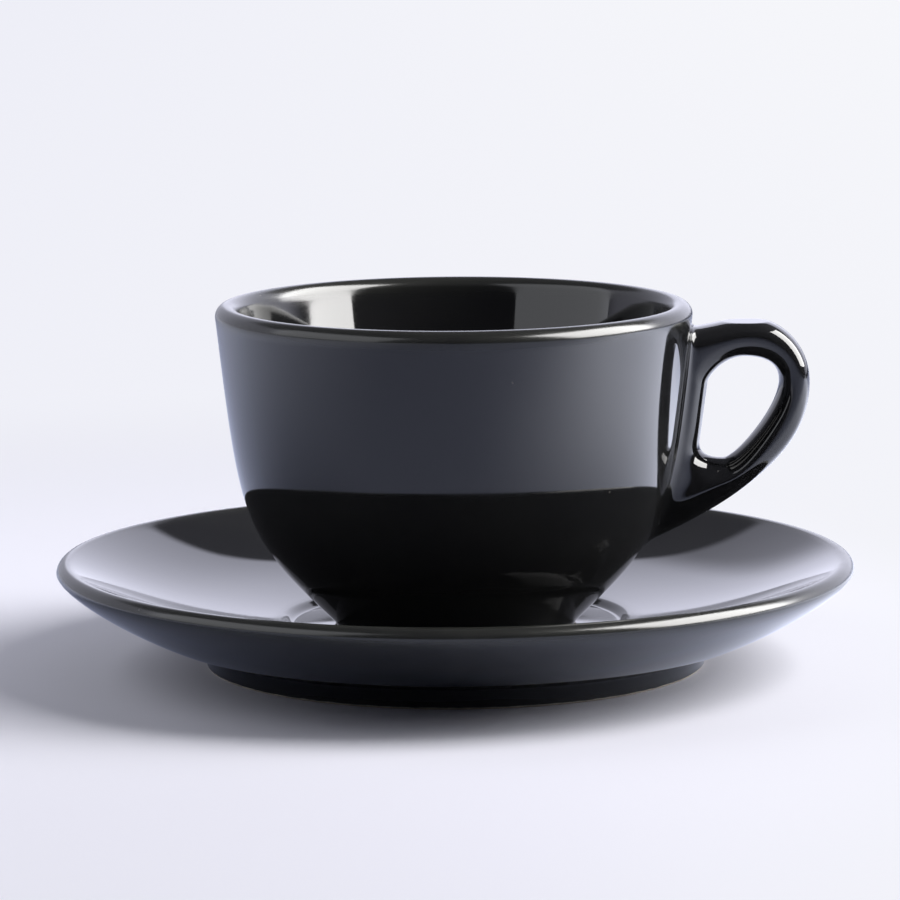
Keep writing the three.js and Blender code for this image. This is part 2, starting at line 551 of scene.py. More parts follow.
@dataclass(frozen=True)
class FootRing:
    """A turned foot: a recess on the axis, a ring that stands on the table, rounded edges."""

    radius: float
    width: float
    recess: float
    edge: float

    def draw(self, spacing: float) -> Outline:
        """Draws the foot from the axis to its outer side.

        Args:
            spacing: The outline's longest step.

        Returns:
            An outline that ends where the edge is rounded over.
        """
        inner = self.radius - self.width
        corner = inner - self.recess
        outline = Outline((0.0, self.recess), spacing)
        outline.line_to((corner - self.edge, self.recess))
        outline.bend_to((corner, self.recess), (corner + self.edge, self.recess - self.edge))
        outline.line_to((inner - self.edge, self.edge))
        outline.bend_to((inner, 0.0), (inner + self.edge, 0.0))
        outline.line_to((self.radius - self.edge, 0.0))
        return outline.bend_to((self.radius, 0.0), (self.radius, self.edge))


# Turned pieces


class PottersWheel:
    """Turns profiles into closed bodies with a Geometry Nodes tree."""

    def __init__(self, sides: int, weld: float) -> None:
        """Makes the tree.

        Args:
            sides: How many steps a full turn has.
            weld: The distance within which points become one, in metres.
        """
        self.sides = sides
        self.weld = weld
        self.tree = bpy.data.node_groups.new("turned_body", "GeometryNodeTree")
        self.keys: dict[str, str] = {}
        self._add_sockets()
        self._add_nodes()

    def _add_sockets(self) -> None:
        """Gives the tree its named inputs and its output."""
        kinds = {
            "Profile": "NodeSocketGeometry",
            "Sides": "NodeSocketInt",
            "Weld": "NodeSocketFloat",
            "Glaze": "NodeSocketMaterial",
        }
        for name, kind in kinds.items():
            socket = self.tree.interface.new_socket(name, in_out="INPUT", socket_type=kind)
            self.keys[name] = socket.identifier
        self.tree.interface.new_socket("Body", in_out="OUTPUT", socket_type="NodeSocketGeometry")

    def _add_nodes(self) -> None:
        """Wires a grid whose rows are copies of the profile, each turned a step further."""
        board = NodeBoard(self.tree)
        given = board.node("NodeGroupInput")
        profile, sides = given.other("Profile"), given.other("Sides")
        count = board.node(
            "GeometryNodeAttributeDomainSize",
            {"component": "MESH"},
            {"Geometry": profile},
            "Point Count",
        )
        grid = board.node("GeometryNodeMeshGrid", None, {"Vertices X": sides + 1, "Vertices Y": count})
        index = board.node("GeometryNodeInputIndex")
        row = ((index + 0.5) / count).floor()
        place = index - row * count
        angle = row / sides * FULL_TURN
        point = board.node(
            "GeometryNodeSampleIndex",
            {"data_type": "FLOAT_VECTOR", "domain": "POINT"},
            {"Geometry": profile, "Value": board.node("GeometryNodeInputPosition"), "Index": place},
        )
        radius = board.node("ShaderNodeSeparateXYZ", None, {0: point})
        turned = board.node(
            "ShaderNodeCombineXYZ",
            None,
            {"X": radius * angle.cosine(), "Y": radius * angle.sine(), "Z": radius.other("Z")},
        )
        kept = board.node("GeometryNodeInputNamedAttribute", {"data_type": "FLOAT"}, {"Name": THIN_GLAZE})
        thin = board.node(
            "GeometryNodeSampleIndex",
            {"data_type": "FLOAT", "domain": "POINT"},
            {"Geometry": profile, "Value": kept, "Index": place},
        )
        body = board.node("GeometryNodeSetPosition", None, {"Geometry": grid, "Position": turned})
        body = board.node(
            "GeometryNodeStoreNamedAttribute",
            {"data_type": "FLOAT", "domain": "POINT"},
            {"Geometry": body, "Name": THIN_GLAZE, "Value": thin},
        )
        body = board.node("GeometryNodeMergeByDistance", None, {0: body, "Distance": given.other("Weld")})
        body = board.node("GeometryNodeSetShadeSmooth", None, {0: body})
        body = board.node("GeometryNodeRealizeInstances", None, {0: body})
        body = board.node("GeometryNodeSetMaterial", None, {0: body, "Material": given.other("Glaze")})
        board.node("NodeGroupOutput", None, {"Body": body})

    def turn(
        self, name: str, profile: np.ndarray, height: float, glaze: bpy.types.Material
    ) -> bpy.types.Object:
        """Turns one profile about the +Z axis.

        Args:
            name: The piece's name.
            profile: Radius and height of each point, in millimetres, from axis to axis.
            height: How far above the table the profile's zero is, in millimetres.
            glaze: The material.

        Returns:
            An object with a plain mesh, at the origin.
        """
        points = [(radius * MM, 0.0, (z + height) * MM) for radius, z in profile]
        carrier = bpy.data.meshes.new(name + "_profile")
        carrier.from_pydata(points, [(i, i + 1) for i in range(len(points) - 1)], [])
        thin = carrier.attributes.new(THIN_GLAZE, "FLOAT", "POINT")
        thin.data.foreach_set("value", thin_glaze(profile))
        piece = bpy.data.objects.new(name, carrier)
        bpy.context.scene.collection.objects.link(piece)
        modifier = piece.modifiers.new("wheel", "NODES")
        modifier.node_group = self.tree
        modifier[self.keys["Sides"]] = self.sides
        modifier[self.keys["Weld"]] = self.weld
        modifier[self.keys["Glaze"]] = glaze
        graph = bpy.context.evaluated_depsgraph_get()
        mesh = bpy.data.meshes.new_from_object(
            piece.evaluated_get(graph), preserve_all_data_layers=True, depsgraph=graph
        )
        mesh.name = name
        piece.modifiers.remove(modifier)
        piece.data = mesh
        bpy.data.meshes.remove(carrier)
        return piece


def thin_glaze(profile: np.ndarray, sharp: float = 3.0, reach: float = 1.6) -> np.ndarray:
    """Finds how thin the glaze runs along a profile, from how sharply the profile turns outwards.

    Args:
        profile: Points of radius and height, with the body on the left.
        sharp: The radius in millimetres below which an edge counts as sharp.
        reach: How far along the profile the thinning fades out, in millimetres.

    Returns:
        A share for each point, from 0 on plain glaze to 1 on a sharp edge.
    """
    steps = np.diff(profile, axis=0)
    lengths = np.linalg.norm(steps, axis=1)
    headings = np.unwrap(np.arctan2(steps[:, 1], steps[:, 0]))
    along = np.concatenate([[0.0], np.cumsum(lengths)])
    turning = np.zeros(len(profile))
    turning[1:-1] = np.diff(headings) / ((lengths[1:] + lengths[:-1]) / 2)
    weights = np.exp(-(((along[:, None] - along[None, :]) / reach) ** 2)) * np.gradient(along)
    smooth = weights @ turning / weights.sum(axis=1)
    return np.clip(smooth * sharp, 0, 1).astype(np.float32)


@dataclass
class Saucer:
    """The saucer: a dish with a rounded lip, a well for the cup, and a foot ring."""

    radius: float = 75.0
    height: float = 20.0
    lip_radius: float = 1.9
    foot: FootRing = FootRing(radius=47.0, width=5.0, recess=2.4, edge=0.6)
    foot_height: float = 4.0
    foot_flare: float = 1.0
    floor: float = 5.0
    dish_lip_slope: float = 23.5
    dish_lip_pull: float = 18.0
    dish_well_slope: float = 8.0
    dish_well_pull: float = 18.0
    underside_foot_pull: float = 7.0
    underside_lip_pull: float = 4.4
    underside_lip_slope: float = 63.0
    well_radius: float = 30.5
    well_depth: float = 1.2
    well_step: float = 2.6
    spacing: float = 0.9

    @property
    def well_floor(self) -> float:
        """Height of the well's floor above the table."""
        return self.foot.recess + self.floor

    def profile(self) -> np.ndarray:
        """Draws the saucer from the axis under the foot to the axis in the well.

        Returns:
            Points of radius and height.
        """
        lip = (self.radius - self.lip_radius, self.height - self.lip_radius)
        lip_side = (self.radius, lip[1])
        foot_top = self.foot.radius + self.foot_flare
        dish_top = step_from(lip, self.lip_radius, 90 + self.dish_lip_slope)
        well_top = (self.well_radius + self.well_step, self.well_floor + self.well_depth)
        step_middle = self.well_radius + self.well_step / 2
        outline = self.foot.draw(self.spacing)
        outline.line_to((foot_top, self.foot_height))
        outline.curve_to(
            (foot_top + self.underside_foot_pull, self.foot_height),
            step_from(lip_side, self.underside_lip_pull, 180 + self.underside_lip_slope),
            lip_side,
        )
        outline.arc(lip, self.lip_radius, 0.0, 90 + self.dish_lip_slope)
        outline.curve_to(
            step_from(dish_top, self.dish_lip_pull, 180 + self.dish_lip_slope),
            step_from(well_top, self.dish_well_pull, self.dish_well_slope),
            well_top,
        )
        outline.curve_to(
            step_from(well_top, -self.well_step / 2, self.dish_well_slope),
            (step_middle, self.well_floor),
            (self.well_radius, self.well_floor),
        )
        outline.line_to((0.0, self.well_floor))
        return outline.array()

    def build(self, wheel: PottersWheel, glaze: bpy.types.Material) -> list[bpy.types.Object]:
        """Turns the saucer and ties it to the frame.

        Args:
            wheel: What turns it.
            glaze: Its material.

        Returns:
            The pieces made.
        """
        piece = wheel.turn("saucer_turned", self.profile(), 0.0, glaze)
        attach(piece, Body.SAUCER.value)
        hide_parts("saucer")
        return [piece]


@dataclass
class Cup:
    """The cup's turned body: a foot ring, a round belly, a thick lip and a deep bowl."""

    seat: float
    foot: FootRing = FootRing(radius=22.7, width=4.0, recess=1.8, edge=0.6)
    radius: float = 44.65
    height: float = 60.7
    belly: Point = (40.2, 18.2)
    lip_radius: float = 2.15
    bowl_slope: float = 9.2
    bowl_pull: float = 34.0
    bowl_floor: float = 6.2
    bowl_flat: float = 10.0
    bowl_floor_pull: float = 20.0
    spacing: float = 0.9
    wall_points: int = 2001

    @property
    def lip_height(self) -> float:
        """Height of the lip's centre above the cup's foot."""
        return self.height - self.lip_radius

    def wall(self, shares: np.ndarray) -> np.ndarray:
        """Returns points of the wall's outer side, from the foot to the lip, for a column of shares."""
        ends = np.array((self.foot.radius, self.foot.edge)), np.array((self.radius, self.lip_height))
        belly = np.array(self.belly)
        return bezier(ends[0], belly, belly, ends[1], shares)

    def wall_radius(self, heights: np.ndarray | float) -> np.ndarray:
        """Returns the wall's outer radius at heights above the cup's foot."""
        points = self.wall(np.linspace(0, 1, self.wall_points)[:, None])
        return np.interp(heights, points[:, 1], points[:, 0])

    def wall_lean(self, heights: np.ndarray) -> np.ndarray:
        """Returns how the wall's outer radius grows with height, at heights above the cup's foot."""
        points = self.wall(np.linspace(0, 1, self.wall_points)[:, None])
        return np.interp(heights, points[:, 1], np.gradient(points[:, 0], points[:, 1]))

    def profile(self) -> np.ndarray:
        """Draws the cup from the axis under its foot to the axis in the bowl.

        Returns:
            Points of radius and height above the cup's foot.
        """
        lip = (self.radius - self.lip_radius, self.lip_height)
        bowl_top = step_from(lip, self.lip_radius, 180 - self.bowl_slope)
        outline = self.foot.draw(self.spacing)
        outline.curve_to(self.belly, self.belly, (self.radius, self.lip_height))
        outline.arc(lip, self.lip_radius, 0.0, 180 - self.bowl_slope)
        outline.curve_to(
            step_from(bowl_top, self.bowl_pull, 270 - self.bowl_slope),
            (self.bowl_flat + self.bowl_floor_pull, self.bowl_floor),
            (self.bowl_flat, self.bowl_floor),
        )
        outline.line_to((0.0, self.bowl_floor))
        return outline.array()

    def build(self, wheel: PottersWheel, glaze: bpy.types.Material) -> list[bpy.types.Object]:
        """Turns the cup's body and ties it to the frame.

        Args:
            wheel: What turns it.
            glaze: Its material.

        Returns:
            The pieces made.
        """
        piece = wheel.turn("cup_turned", self.profile(), self.seat, glaze)
        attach(piece, Body.CUP.value)
        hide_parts("cup_body")
        return [piece]


# Handle


class PlaneEdge:
    """A closed edge of a flat form, for signed distances to it."""

    def __init__(self, loop: np.ndarray) -> None:
        """Keeps the middle and the outward normal of each step of the loop.

        Args:
            loop: A closed chain of points, with the form on its right.
        """
        following = np.roll(loop, -1, axis=0)
        steps = following - loop
        lengths = np.linalg.norm(steps, axis=1)
        kept = lengths > TINY
        self.middles = ((loop + following) / 2)[kept]
        self.normals = np.column_stack([-steps[:, 1], steps[:, 0]])[kept] / lengths[kept, None]
        self.tree = KDTree(len(self.middles))
        for i, (x, z) in enumerate(self.middles):
            self.tree.insert((x, 0.0, z), i)
        self.tree.balance()

    def measure(self, points: np.ndarray) -> tuple[np.ndarray, np.ndarray]:
        """Measures points in the form's plane.

        Args:
            points: Two columns.

        Returns:
            The distance from the edge, below zero in the form, and the outward normal there.
        """
        nearest = [self.tree.find((x, 0.0, z))[1] for x, z in points.tolist()]
        normals = self.normals[nearest]
        return ((points - self.middles[nearest]) * normals).sum(axis=1), normals


@dataclass
class Handle:
    """The ear handle: an arm of oval section round a finger gap, run into the cup's wall with slip.

    The section's power is its fullness, 2 for an ellipse, and falls by the ridge between two heights,
    so that the tail is sharp along its sides. The patch is where the slip meets the cup, and its skin
    is how deep it lies in the wall.
    """

    cup: Cup
    # Outer edge
    below_lip: float = 3.5
    height: float = 42.7
    reach: float = 22.6
    widest_drop: float = 11.9
    root_drop: float = 2.8
    root_run: float = 3.3
    side_pull: float = 12.5
    tail_slope: float = 23.0
    tail_pull: float = 22.0
    sink: float = 20.0
    # Finger gap
    arm_top: float = 7.1
    arm_side: float = 5.6
    limb: float = 4.4
    gap_height: float = 19.3
    gap_corner_rise: float = 3.7
    gap_corner_run: float = 4.5
    gap_floor_pull: float = 2.5
    gap_side_pull: float = 5.2
    # Section
    depth: float = 10.5
    limb_root: float = 3.5
    limb_least: float = 0.35
    round_reach: float = 4.7
    depth_power: float = 4.0
    fullness: float = 2.35
    ridge: float = 0.95
    ridge_start: float = 38.0
    ridge_full: float = 25.0
    # Slip
    slip_fillet: float = 1.6
    slip_tuck: float = 0.005
    patch_skin: float = 0.95
    patch_margin: float = 2.2
    patch_tail: float = 3.2
    # Net
    spacing: float = 0.06
    cell: float = 0.42
    rounds: int = 4
    room_inward: float = 6.0
    room_below: float = 4.0
    room_above: float = 2.0
    outer: PlaneEdge = field(init=False)
    gap: PlaneEdge = field(init=False)

    def __post_init__(self) -> None:
        """Draws the arm's edges."""
        self.outer = PlaneEdge(self._outer_edge())
        self.gap = PlaneEdge(self._finger_gap())

    @property
    def _crown_height(self) -> float:
        """Height of the handle's top above the cup's foot."""
        return self.cup.height - self.below_lip

    def _widest(self) -> Point:
        """Returns the point that is furthest from the cup."""
        root = float(self.cup.wall_radius(self._crown_height - self.root_drop))
        return (root + self.reach, self._crown_height - self.widest_drop)

    def _outer_edge(self) -> np.ndarray:
        """Draws the arm's outer edge, from the upper root to the tail.

        Returns:
            Points out from the cup's axis and up from its foot.
        """
        top = self._crown_height
        root_height = top - self.root_drop
        root = float(self.cup.wall_radius(root_height))
        widest = self._widest()
        crown = ((root + widest[0]) / 2, top)
        crown_pull = ROUND_PULL * (widest[0] - crown[0])
        tail = (float(self.cup.wall_radius(top - self.height)), top - self.height)
        outline = Outline((root - self.sink, root_height), self.spacing)
        outline.curve_to((root + self.root_run, root_height), (crown[0] - crown_pull, top), crown)
        outline.curve_to(
            (crown[0] + crown_pull, top),
            (widest[0], widest[1] + ROUND_PULL * self.widest_drop),
            widest,
        )
        outline.curve_to(
            (widest[0], widest[1] - self.side_pull),
            step_from(tail, self.tail_pull, self.tail_slope),
            tail,
        )
        outline.line_to(step_from(tail, -self.sink, self.tail_slope))
        return outline.line_to((root - self.sink, root_height)).array()

    def _finger_gap(self) -> np.ndarray:
        """Draws the finger gap, the other way round from the outer edge.

        Returns:
            Points out from the cup's axis and up from its foot.
        """
        widest = self._widest()
        top = self._crown_height - self.arm_top
        bottom = top - self.gap_height
        right = widest[0] - self.arm_side
        left = self._beside(widest[1])
        corner_top = self._beside(bottom + self.gap_corner_rise)
        floor = (corner_top[0] + self.gap_corner_run, bottom)
        crown = (left[0] + right) / 2
        rise, half = top - widest[1], right - crown
        lean = math.degrees(math.atan2(left[1] - corner_top[1], left[0] - corner_top[0]))
        outline = Outline((crown, top), self.spacing)
        outline.curve_to((crown - ROUND_PULL * half, top), step_from(left, BLUNT_PULL * rise, lean), left)
        outline.line_to(corner_top)
        outline.bend_to(self._beside(bottom), floor)
        outline.curve_to(
            (floor[0] + self.gap_floor_pull, bottom),
            (right, widest[1] - self.gap_side_pull),
            (right, widest[1]),
        )
        outline.curve_to(
            (right, widest[1] + FULL_PULL * rise),
            (crown + FULL_PULL * half, top),
            (crown, top),
        )
        return outline.array()

    def _beside(self, height: float) -> Point:
        """Returns the point of the gap's inner side at a height."""
        return (float(self.cup.wall_radius(height)) + self.limb, height)

    def _depths(self, points: np.ndarray) -> tuple[np.ndarray, np.ndarray, np.ndarray, np.ndarray]:
        """Finds how deep points lie under the arm's outer side and under the gap's side.

        The limb's outer side lies in the cup's wall, and the gap's side rounds over a set reach only.

        Args:
            points: Two columns, in the handle's plane.

        Returns:
            The depth under the outer side with its gradient, then that under the gap's side.
        """
        edge, edge_normal = self.outer.measure(points)
        gap, gap_normal = self.gap.measure(points)
        lean = self.cup.wall_lean(points[:, 1])
        upright = 1 / np.hypot(1, lean)
        wall = (points[:, 0] - self.cup.wall_radius(points[:, 1])) * upright + self.limb_root
        wall = np.maximum(wall, self.limb_least)
        wall_normal = np.column_stack([upright, -lean * upright])
        power = self.depth_power
        near = np.maximum(-edge, TINY)
        both = (near**-power + wall**-power) ** (-1 / power)
        both_slope = wall_normal * ((both / wall) ** (power + 1))[:, None]
        both_slope -= edge_normal * ((both / near) ** (power + 1))[:, None]
        outside = edge >= 0
        outer = np.where(outside, -edge, both)
        outer_slope = np.where(outside[:, None], -edge_normal, both_slope)
        share = 1 + (np.maximum(-gap, 0) / self.round_reach) ** power
        gap_slope = -gap_normal * (share ** (-1 - 1 / power))[:, None]
        return outer, outer_slope, -gap / share ** (1 / power), gap_slope

    def _arm_distance(self, points: np.ndarray) -> tuple[np.ndarray, np.ndarray]:
        """Measures points against the arm, a full oval at the top and ridged at the tail.

        Args:
            points: Three columns, above the cup's foot.

        Returns:
            Signed distances and their gradients, true near the surface.
        """
        outer, outer_slope, gap, gap_slope = self._depths(points[:, [0, 2]])
        width, offset = outer + gap, outer - gap
        width = np.where(np.abs(width) < TINY, TINY, width)
        across = offset / width
        across_slope = (outer_slope - gap_slope) / width[:, None]
        across_slope -= (outer_slope + gap_slope) * (offset / width**2)[:, None]
        low = np.clip((self.ridge_start - points[:, 2]) / (self.ridge_start - self.ridge_full), 0, 1)
        power = self.fullness - self.ridge * low**2 * (3 - 2 * low)
        out = points[:, 1] / (self.depth / 2)
        size = np.maximum((np.abs(across) ** power + np.abs(out) ** power) ** (1 / power), TINY)
        pull = np.sign(across) * (np.abs(across) / size) ** (power - 1)
        push = np.sign(out) * (np.abs(out) / size) ** (power - 1) / (self.depth / 2)
        slope = np.column_stack([pull * across_slope[:, 0], push, pull * across_slope[:, 1]])
        steepness = np.maximum(np.linalg.norm(slope, axis=1), TINY)
        distance, slope = (size - 1) / steepness, slope / steepness[:, None]
        for depth, inward in ((outer, outer_slope), (gap, gap_slope)):
            beyond = (depth < 0) & (-depth > distance)
            distance = np.where(beyond, -depth, distance)
            level = np.column_stack([-inward[:, 0], np.zeros(len(depth)), -inward[:, 1]])
            slope = np.where(beyond[:, None], level, slope)
        return distance, slope

    def _wall_distance(self, points: np.ndarray) -> tuple[np.ndarray, np.ndarray]:
        """Measures points against the cup's outer wall.

        Args:
            points: Three columns, above the cup's foot.

        Returns:
            Signed distances and their gradients.
        """
        radius = np.hypot(points[:, 0], points[:, 1])
        lean = self.cup.wall_lean(points[:, 2])
        upright = 1 / np.hypot(1, lean)
        outward = points[:, :2] / radius[:, None]
        distance = (radius - self.cup.wall_radius(points[:, 2])) * upright
        return distance, np.column_stack([outward * upright[:, None], -lean * upright])

    def _joined_distance(
        self, points: np.ndarray, wall: np.ndarray, wall_slope: np.ndarray
    ) -> tuple[np.ndarray, np.ndarray]:
        """Measures points against the arm and the wall with the slip fillet between them.

        Args:
            points: Three columns, above the cup's foot.
            wall: Their signed distances from the wall.
            wall_slope: The gradients of those.

        Returns:
            Signed distances and their gradients.
        """
        arm, arm_slope = self._arm_distance(points)
        arm_share = np.maximum(self.slip_fillet - arm, 0)
        wall_share = np.maximum(self.slip_fillet - wall, 0)
        size = np.maximum(np.hypot(arm_share, wall_share), TINY)
        distance = np.maximum(self.slip_fillet, np.minimum(arm, wall)) - size
        slope = arm_share[:, None] * arm_slope + wall_share[:, None] * wall_slope
        return distance, slope / size[:, None]

    def measure(self, points: np.ndarray) -> tuple[np.ndarray, np.ndarray]:
        """Measures points against the handle.

        The fillet meets the wall a hair under the cup's glaze, and the piece ends there in a patch
        that is out of sight.

        Args:
            points: Three columns, above the cup's foot.

        Returns:
            Signed distances and their gradients.
        """
        wall, wall_slope = self._wall_distance(points)
        joined, joined_slope = self._joined_distance(points, wall + self.slip_tuck, wall_slope)
        beside = np.abs(points[:, 1]) - self.depth / 2 - self.patch_margin
        above = points[:, 2] - self._crown_height + self.root_drop - self.patch_margin
        below = self._crown_height - self.height - self.patch_tail - points[:, 2]
        sideways = np.sign(points[:, 1:2]) * np.array((0.0, 1.0, 0.0))
        upward = np.broadcast_to((0.0, 0.0, 1.0), points.shape)
        bounds = np.stack([joined, -(wall + self.patch_skin), beside, above, below])
        slopes = np.stack([joined_slope, -wall_slope, sideways, upward, -upward])
        chosen = bounds.argmax(axis=0)
        columns = np.arange(len(points))
        return bounds[chosen, columns], slopes[chosen, columns]

    def mesh(self) -> tuple[np.ndarray, np.ndarray]:
        """Meshes the handle's surface evenly.

        Returns:
            Points above the cup's foot, in millimetres, and faces of four points.
        """
        widest = self._widest()
        margin = 2 * self.cell
        top, foot = self._crown_height, self._crown_height - self.height
        inner = float(self.cup.wall_radius(foot)) - self.room_inward
        low = np.array([inner, -self.depth, foot - self.slip_fillet - self.room_below])
        high = np.array([widest[0] + margin, self.depth, top + margin + self.room_above])
        net = SurfaceNet(low, high, self.cell)
        points, faces = net.wrap(lambda p: self.measure(p)[0])
        for _ in range(self.rounds):
            points = self._settle(net.relax(points, faces))
        return points, faces

    def _settle(self, points: np.ndarray, steps: int = 4, flattest: float = 0.5) -> np.ndarray:
        """Moves points onto the surface.

        Args:
            points: Points near it.
            steps: How many times each one is moved.
            flattest: The least slope that the field is taken to have.

        Returns:
            Points on it.
        """
        for _ in range(steps):
            distance, slope = self.measure(points)
            weight = np.maximum((slope**2).sum(axis=1), flattest**2)
            points = points - slope * (distance / weight)[:, None]
        return points

    def build(self, glaze: bpy.types.Material) -> list[bpy.types.Object]:
        """Makes the handle and ties it to the frame.

        Args:
            glaze: Its material.

        Returns:
            The pieces made.
        """
        points, faces = self.mesh()
        points = (points + np.array([0.0, 0.0, self.cup.seat])) * MM
        mesh = bpy.data.meshes.new("cup_handle_pulled")
        mesh.from_pydata(points.tolist(), [], faces.tolist())
        mesh.materials.append(glaze)
        mesh.polygons.foreach_set("use_smooth", np.ones(len(mesh.polygons), bool))
        mesh.update()
        piece = bpy.data.objects.new("cup_handle_pulled", mesh)
        bpy.context.scene.collection.objects.link(piece)
        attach(piece, Body.CUP.value)
        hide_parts("cup_handle")
        return [piece]


class SurfaceNet:
    """Wraps a net of four-sided faces round the zero surface of a distance field."""

    CORNERS = np.array([(i, j, k) for i in (0, 1) for j in (0, 1) for k in (0, 1)])
    EDGES = [(0, 1), (2, 3), (4, 5), (6, 7), (0, 2), (1, 3), (4, 6), (5, 7), (0, 4), (1, 5), (2, 6), (3, 7)]

    def __init__(self, low: np.ndarray, high: np.ndarray, cell: float) -> None:
        """Lays out the cells.

        Args:
            low: The lowest corner of the space.
            high: The highest corner.
            cell: The cells' size.
        """
        self.low = low
        self.cell = cell
        self.counts = np.ceil((high - low) / cell).astype(int) + 1

    def wrap(self, field_at: Callable[[np.ndarray], np.ndarray]) -> tuple[np.ndarray, np.ndarray]:
        """Finds the net.

        Args:
            field_at: Gives signed distances for points in three columns.

        Returns:
            The net's points and its faces, which point outwards.
        """
        grid = np.indices(self.counts).reshape(3, -1).T
        values = field_at(self.low + grid * self.cell).reshape(self.counts)
        cells = np.indices(self.counts - 1).reshape(3, -1).T
        corners = values[tuple((cells[:, None, :] + self.CORNERS).transpose(2, 0, 1))]
        inside = corners < 0
        crossed = inside.any(axis=1) & ~inside.all(axis=1)
        cells, corners, inside = cells[crossed], corners[crossed], inside[crossed]
        total, count = np.zeros((len(cells), 3)), np.zeros(len(cells))
        for first, last in self.EDGES:
            cut = inside[:, first] != inside[:, last]
            span = np.where(cut, corners[:, first] - corners[:, last], 1.0)
            share = (corners[:, first] / span)[:, None]
            crossing = self.CORNERS[first] * (1 - share) + self.CORNERS[last] * share
            total += np.where(cut[:, None], crossing, 0)
            count += cut
        points = self.low + (cells + total / count[:, None]) * self.cell
        numbers = np.full(self.counts - 1, -1)
        numbers[tuple(cells.T)] = np.arange(len(cells))
        return points, self._faces(values < 0, numbers)

    def _faces(self, inside: np.ndarray, numbers: np.ndarray) -> np.ndarray:
        """Joins the four cells round each grid edge that crosses the surface.

        Args:
            inside: Whether each grid point is in the solid.
            numbers: The net's point number in each cell.

        Returns:
            Faces of four point numbers.
        """
        faces = []
        for axis in range(3):
            across, along = (axis + 1) % 3, (axis + 2) % 3
            ahead = np.roll(inside, -1, axis=axis)
            cut = np.argwhere(inside != ahead)
            limits = np.array(inside.shape) - 1
            kept = (cut[:, axis] < limits[axis]) & (cut[:, across] > 0) & (cut[:, along] > 0)
            kept &= (cut[:, across] < limits[across]) & (cut[:, along] < limits[along])
            cut = cut[kept]
            ring = []
            for back in ((0, 0), (1, 0), (1, 1), (0, 1)):
                cell = cut.copy()
                cell[:, across] -= back[0]
                cell[:, along] -= back[1]
                ring.append(numbers[tuple(cell.T)])
            ring = np.column_stack(ring)
            leaving = inside[tuple(cut.T)]
            faces.append(np.where(leaving[:, None], ring, ring[:, ::-1]))
        return np.vstack(faces)

    @staticmethod
    def relax(points: np.ndarray, faces: np.ndarray) -> np.ndarray:
        """Evens out the net.

        Args:
            points: The net's points.
            faces: Its faces.

        Returns:
            Each point moved to the mean of the middles of its faces.
        """
        middles = points[faces].mean(axis=1)
        total, count = np.zeros_like(points), np.zeros(len(points))
        for corner in faces.T:
            np.add.at(total, corner, middles)
            np.add.at(count, corner, 1)
        return total / count[:, None]


# Studio


@dataclass(frozen=True)
class SoftLamp:
    """A rectangular softbox that faces the object.

    The bearing is in degrees from +X towards +Y, the height in degrees above the table, and the
    distance and size in metres.
    """

    name: str
    bearing: float
    height: float
    distance: float
    size: Span
    radiance: float
    colour: Colour
    shine: Shine

    def build(self) -> bpy.types.Object:
        """Makes the lamp.

        Returns:
            The lamp's object, which the camera doesn't see.
        """
        lamp = bpy.data.lights.new(self.name, "AREA")
        lamp.shape = "RECTANGLE"
        lamp.size, lamp.size_y = self.size
        lamp.energy = self.radiance * math.pi * self.size[0] * self.size[1]
        lamp.color = self.colour
        made = bpy.data.objects.new(self.name, lamp)
        bearing, height = math.radians(self.bearing), math.radians(self.height)
        outward = Vector(
            (math.cos(height) * math.cos(bearing), math.cos(height) * math.sin(bearing), math.sin(height))
        )
        made.location = outward * self.distance
        made.rotation_euler = outward.to_track_quat("Z", "Y").to_euler()
        made.visible_camera = False
        made.visible_diffuse = self.shine is Shine.MATT
        made.visible_glossy = self.shine is Shine.GLOSS
        bpy.context.scene.collection.objects.link(made)
        return made


